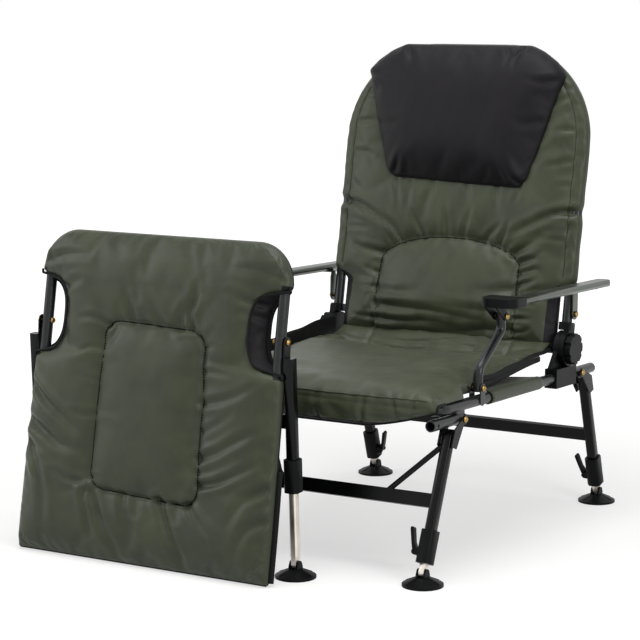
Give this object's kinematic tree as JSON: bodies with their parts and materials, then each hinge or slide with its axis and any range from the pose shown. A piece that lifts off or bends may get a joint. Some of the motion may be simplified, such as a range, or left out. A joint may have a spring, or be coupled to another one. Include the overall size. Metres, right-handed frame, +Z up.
{
  "type": "carp fishing chair",
  "caption": "Low folding recliner with padded seat, back and head pillow, armrests, swivel feet on telescopic legs, and a padded leg rest standing beside it.",
  "frame": {"origin": "on the ground, under the middle of the bounding box of the chair and its leg rest", "axes": "+Z up, -Y the way the chair faces, +X to the chair's own left as seen by who sits in it"},
  "size_m": [0.9402, 1.0032, 0.9867],
  "materials": {
    "frame_grey": "satin",
    "leg_black": "gloss",
    "plastic_black": "satin",
    "steel_bright": "satin",
    "aluminium_grey": "satin",
    "zinc_yellow": "polished",
    "fabric_green": "matte",
    "fabric_black": "matte"
  },
  "bodies": {
    "base": {"seat_frame": "frame_grey", "seat_sling": "fabric_green", "seat_cushion": "fabric_green", "recliner_base_left": "plastic_black", "recliner_base_right": "plastic_black", "front_leg_bolt_left": "zinc_yellow", "front_leg_bolt_right": "zinc_yellow", "rear_leg_bolt_left": "zinc_yellow", "rear_leg_bolt_right": "zinc_yellow", "arm_post_bolt_left": "zinc_yellow", "arm_post_bolt_right": "zinc_yellow"},
    "front_legs": {"front_leg_frame": "leg_black", "front_clamp_left": "plastic_black", "front_clamp_right": "plastic_black"},
    "front_inner_leg_left": {"front_inner_leg_left": "steel_bright"},
    "front_foot_left": {"front_foot_left": "plastic_black"},
    "front_clamp_lever_left": {"front_clamp_lever_left": "plastic_black"},
    "front_inner_leg_right": {"front_inner_leg_right": "steel_bright"},
    "front_foot_right": {"front_foot_right": "plastic_black"},
    "front_clamp_lever_right": {"front_clamp_lever_right": "plastic_black"},
    "rear_legs": {"rear_leg_frame": "leg_black", "rear_clamp_left": "plastic_black", "rear_clamp_right": "plastic_black"},
    "rear_inner_leg_left": {"rear_inner_leg_left": "steel_bright"},
    "rear_foot_left": {"rear_foot_left": "plastic_black"},
    "rear_clamp_lever_left": {"rear_clamp_lever_left": "plastic_black"},
    "rear_inner_leg_right": {"rear_inner_leg_right": "steel_bright"},
    "rear_foot_right": {"rear_foot_right": "plastic_black"},
    "rear_clamp_lever_right": {"rear_clamp_lever_right": "plastic_black"},
    "back": {"back_frame": "frame_grey", "back_cushion": "fabric_green", "head_pillow": "fabric_black", "recliner_arm_left": "plastic_black", "recliner_arm_right": "plastic_black"},
    "recliner_knob_left": {"recliner_knob_left": "plastic_black"},
    "arm_post_left": {"arm_post_left": "frame_grey"},
    "armrest_left": {"armrest_left": "aluminium_grey", "armrest_cap_left": "plastic_black", "armrest_bolt_left": "zinc_yellow", "armrest_pin_left": "zinc_yellow"},
    "recliner_knob_right": {"recliner_knob_right": "plastic_black"},
    "arm_post_right": {"arm_post_right": "frame_grey"},
    "armrest_right": {"armrest_right": "aluminium_grey", "armrest_cap_right": "plastic_black", "armrest_bolt_right": "zinc_yellow", "armrest_pin_right": "zinc_yellow"},
    "rest_legs": {"rest_leg_frame": "leg_black", "rest_clamp_left": "plastic_black", "rest_clamp_right": "plastic_black", "rest_leg_bolt_left": "zinc_yellow", "rest_leg_bolt_right": "zinc_yellow"},
    "rest_panel": {"rest_frame": "frame_grey", "rest_cushion": "fabric_green"},
    "rest_inner_leg_left": {"rest_inner_leg_left": "steel_bright"},
    "rest_foot_left": {"rest_foot_left": "plastic_black"},
    "rest_clamp_lever_left": {"rest_clamp_lever_left": "plastic_black"},
    "rest_inner_leg_right": {"rest_inner_leg_right": "steel_bright"},
    "rest_foot_right": {"rest_foot_right": "plastic_black"},
    "rest_clamp_lever_right": {"rest_clamp_lever_right": "plastic_black"}
  },
  "joints": [
    {"name": "front_leg_fold", "type": "hinge", "parent": "base", "child": "front_legs", "pos_m": [0.1319, -0.19163, 0.2956], "axis": [1, 0, 0], "range_deg": [0, 108]},
    {"name": "front_leg_length_left", "type": "slide", "parent": "front_legs", "child": "front_inner_leg_left", "axis": [0, 0.3841, 0.9233], "range_m": [-0.11, 0]},
    {"name": "front_foot_tilt_left", "type": "hinge", "parent": "front_inner_leg_left", "child": "front_foot_left", "pos_m": [-0.1451, -0.32745, 0.025], "axis": [1, 0, 0], "range_deg": [-20, 20]},
    {"name": "front_clamp_left", "type": "hinge", "parent": "front_legs", "child": "front_clamp_lever_left", "pos_m": [-0.1231, -0.31323, 0.05916], "axis": [0, 0.9233, -0.3841], "range_deg": [0, 95]},
    {"name": "front_leg_length_right", "type": "slide", "parent": "front_legs", "child": "front_inner_leg_right", "axis": [0, 0.3841, 0.9233], "range_m": [-0.11, 0]},
    {"name": "front_foot_tilt_right", "type": "hinge", "parent": "front_inner_leg_right", "child": "front_foot_right", "pos_m": [0.4089, -0.32745, 0.025], "axis": [1, 0, 0], "range_deg": [-20, 20]},
    {"name": "front_clamp_right", "type": "hinge", "parent": "front_legs", "child": "front_clamp_lever_right", "pos_m": [0.3869, -0.31323, 0.05916], "axis": [0, -0.9233, 0.3841], "range_deg": [0, 95]},
    {"name": "rear_leg_fold", "type": "hinge", "parent": "base", "child": "rear_legs", "pos_m": [0.1319, 0.34236, 0.30406], "axis": [1, 0, 0], "range_deg": [-103, 0]},
    {"name": "rear_leg_length_left", "type": "slide", "parent": "rear_legs", "child": "rear_inner_leg_left", "axis": [0, 0.2891, -0.9573], "range_m": [0, 0.11]},
    {"name": "rear_foot_tilt_left", "type": "hinge", "parent": "rear_inner_leg_left", "child": "rear_foot_left", "pos_m": [-0.1451, 0.4616, 0.025], "axis": [1, 0, 0], "range_deg": [-20, 20]},
    {"name": "rear_clamp_left", "type": "hinge", "parent": "rear_legs", "child": "rear_clamp_lever_left", "pos_m": [-0.1231, 0.45091, 0.06042], "axis": [0, 0.9573, 0.2891], "range_deg": [0, 95]},
    {"name": "rear_leg_length_right", "type": "slide", "parent": "rear_legs", "child": "rear_inner_leg_right", "axis": [0, 0.2891, -0.9573], "range_m": [0, 0.11]},
    {"name": "rear_foot_tilt_right", "type": "hinge", "parent": "rear_inner_leg_right", "child": "rear_foot_right", "pos_m": [0.4089, 0.4616, 0.025], "axis": [1, 0, 0], "range_deg": [-20, 20]},
    {"name": "rear_clamp_right", "type": "hinge", "parent": "rear_legs", "child": "rear_clamp_lever_right", "pos_m": [0.3869, 0.45091, 0.06042], "axis": [0, -0.9573, -0.2891], "range_deg": [0, 95]},
    {"name": "backrest_tilt", "type": "hinge", "parent": "base", "child": "back", "pos_m": [0.1319, 0.28638, 0.36305], "axis": [1, 0, 0], "range_deg": [-50, 50]},
    {"name": "recliner_lock_left", "type": "hinge", "parent": "base", "child": "recliner_knob_left", "pos_m": [0.1319, 0.28638, 0.36305], "axis": [1, 0, 0], "range_deg": [-360, 0]},
    {"name": "arm_post_tilt_left", "type": "hinge", "parent": "base", "child": "arm_post_left", "pos_m": [0.1319, -0.10962, 0.34199], "axis": [1, 0, 0], "range_deg": [-24, 24]},
    {"name": "armrest_tilt_left", "type": "hinge", "parent": "arm_post_left", "child": "armrest_left", "pos_m": [0.1319, -0.01262, 0.46999], "axis": [1, 0, 0], "range_deg": [-30, 30]},
    {"name": "recliner_lock_right", "type": "hinge", "parent": "base", "child": "recliner_knob_right", "pos_m": [0.1319, 0.28638, 0.36305], "axis": [1, 0, 0], "range_deg": [0, 360]},
    {"name": "arm_post_tilt_right", "type": "hinge", "parent": "base", "child": "arm_post_right", "pos_m": [0.1319, -0.10962, 0.34199], "axis": [1, 0, 0], "range_deg": [-24, 24]},
    {"name": "armrest_tilt_right", "type": "hinge", "parent": "arm_post_right", "child": "armrest_right", "pos_m": [0.1319, -0.01262, 0.46999], "axis": [1, 0, 0], "range_deg": [-30, 30]},
    {"name": "leg_rest_distance", "type": "slide", "parent": "base", "child": "rest_legs", "axis": [0, -1, 0], "range_m": [0, 0.4]},
    {"name": "leg_rest_fold", "type": "hinge", "parent": "rest_legs", "child": "rest_panel", "pos_m": [-0.1291, -0.40543, 0.452], "axis": [1, 0, 0], "range_deg": [-84, 0]},
    {"name": "rest_leg_length_left", "type": "slide", "parent": "rest_legs", "child": "rest_inner_leg_left", "axis": [0, 0.04, -0.9992], "range_m": [-0.12, 0.03]},
    {"name": "rest_foot_tilt_left", "type": "hinge", "parent": "rest_inner_leg_left", "child": "rest_foot_left", "pos_m": [-0.4301, -0.39728, 0.025], "axis": [1, 0, 0], "range_deg": [-20, 20]},
    {"name": "rest_clamp_left", "type": "hinge", "parent": "rest_legs", "child": "rest_clamp_lever_left", "pos_m": [-0.4081, -0.40379, 0.18687], "axis": [0, 0.9992, 0.04], "range_deg": [0, 95]},
    {"name": "rest_leg_length_right", "type": "slide", "parent": "rest_legs", "child": "rest_inner_leg_right", "axis": [0, 0.04, -0.9992], "range_m": [-0.12, 0.03]},
    {"name": "rest_foot_tilt_right", "type": "hinge", "parent": "rest_inner_leg_right", "child": "rest_foot_right", "pos_m": [0.1719, -0.39728, 0.025], "axis": [1, 0, 0], "range_deg": [-20, 20]},
    {"name": "rest_clamp_right", "type": "hinge", "parent": "rest_legs", "child": "rest_clamp_lever_right", "pos_m": [0.1499, -0.40379, 0.18687], "axis": [0, -0.9992, -0.04], "range_deg": [0, 95]}
  ],
  "couplings": [
    {"joint": "arm_post_tilt_left", "follows": "backrest_tilt", "ratio": 0.47},
    {"joint": "armrest_tilt_left", "follows": "backrest_tilt", "ratio": -0.59},
    {"joint": "arm_post_tilt_right", "follows": "backrest_tilt", "ratio": 0.47},
    {"joint": "armrest_tilt_right", "follows": "backrest_tilt", "ratio": -0.59}
  ]
}
